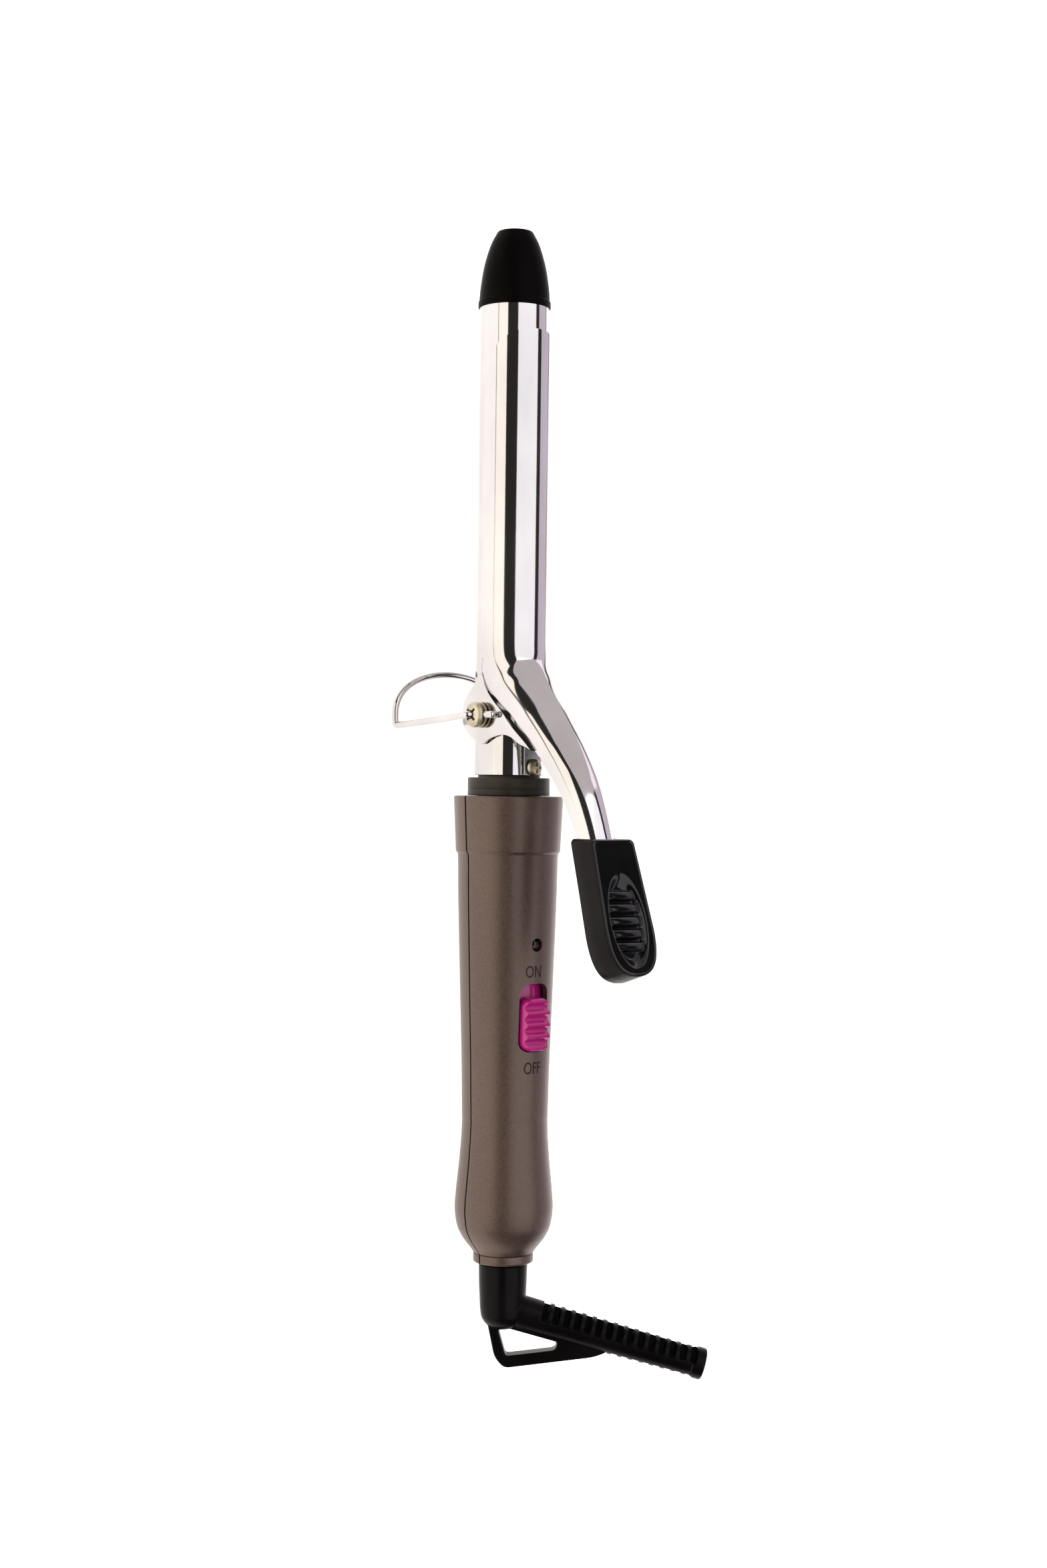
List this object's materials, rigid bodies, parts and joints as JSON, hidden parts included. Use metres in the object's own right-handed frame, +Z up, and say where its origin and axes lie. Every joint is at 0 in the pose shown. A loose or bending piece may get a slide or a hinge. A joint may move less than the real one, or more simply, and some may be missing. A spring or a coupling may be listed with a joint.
{
  "type": "curling iron",
  "caption": "Hair curling iron: chrome barrel with a spring-closed clamp and thumb lever, folding wire stand, moulded handle with slide switch, and swivel cord outlet.",
  "frame": {"origin": "middle of the bounding box, on the surface that the stand and the handle rest on", "axes": "+Y from the cord outlet to the barrel tip along the surface, +Z up, with the thumb lever on top"},
  "size_m": [0.0658, 0.3148, 0.0742],
  "materials": {
    "chrome_steel": "polished chrome plate",
    "bronze_paint": "satin metallic bronze paint on ABS",
    "collar_paint": "satin olive-brown moulding",
    "black_plastic": "fine moulded texture",
    "gloss_black": "glossy front, satin sides",
    "soft_vinyl": "satin moulded vinyl",
    "magenta_plastic": "satin",
    "smoke_lens": "dark smoked lens",
    "zinc_plate": "warm zinc plate",
    "spring_steel": "rolled",
    "brass": "stamped",
    "aluminium": "extruded",
    "ceramic": "fired",
    "phenolic": "moulded",
    "amber_glass": "clear amber",
    "circuit_board": "laminate",
    "red_insulation": "silicone",
    "white_insulation": "silicone"
  },
  "bodies": {
    "iron_body": {"barrel_tube": "chrome_steel", "tip_cap": "black_plastic", "heat_collar": "collar_paint", "barrel_bushing": "phenolic", "handle_front_shell": "bronze_paint", "handle_rear_shell": "bronze_paint", "tail_ring": "bronze_paint", "handle_screw_1": "spring_steel", "handle_screw_2": "spring_steel", "heat_spreader_front": "aluminium", "heat_spreader_rear": "aluminium", "heater_element": "ceramic", "thermal_fuse": "spring_steel", "live_lead": "red_insulation", "feed_lead": "red_insulation", "neutral_lead": "white_insulation", "switch_body": "black_plastic", "switch_terminal_1": "brass", "switch_terminal_2": "brass", "indicator_lens": "smoke_lens", "indicator_lamp": "amber_glass", "indicator_board": "circuit_board", "indicator_resistor": "ceramic", "clamp_spring": "spring_steel", "spring_screw": "zinc_plate", "pivot_crossbar": "spring_steel", "pivot_screw_near": "zinc_plate", "pivot_washer_near": "zinc_plate", "pivot_screw_far": "zinc_plate", "pivot_washer_far": "zinc_plate", "contact_brush_live": "spring_steel", "contact_brush_neutral": "spring_steel"},
    "clamp_lever": {"clamp": "chrome_steel", "thumb_rest": "gloss_black"},
    "stand": {"stand_bail": "chrome_steel"},
    "slider": {"switch_slider": "magenta_plastic"},
    "cord_outlet": {"strain_relief": "soft_vinyl", "swivel_hub": "phenolic", "contact_ring_live": "brass", "contact_ring_neutral": "brass"}
  },
  "joints": [
    {"name": "clamp_pivot", "type": "hinge", "parent": "iron_body", "child": "clamp_lever", "pos_m": [-0.01249, 0.0254, 0.02798], "axis": [1, 0, 0], "range_deg": [0, 16], "stiffness_Nm_per_rad": 0.3, "springref_deg": -17.19, "deforming": ["clamp_spring"]},
    {"name": "stand_fold", "type": "hinge", "parent": "iron_body", "child": "stand", "pos_m": [-0.01249, 0.0254, 0.02798], "axis": [-1, 0, 0], "range_deg": [0, 79]},
    {"name": "switch_slide", "type": "slide", "parent": "iron_body", "child": "slider", "axis": [0, 0.9947, 0.1032], "range_m": [0, 0.0034]},
    {"name": "cord_swivel", "type": "hinge", "parent": "iron_body", "child": "cord_outlet", "pos_m": [-0.01249, -0.12322, 0.01176], "axis": [0, 0.9947, 0.1032], "continuous": true}
  ]
}
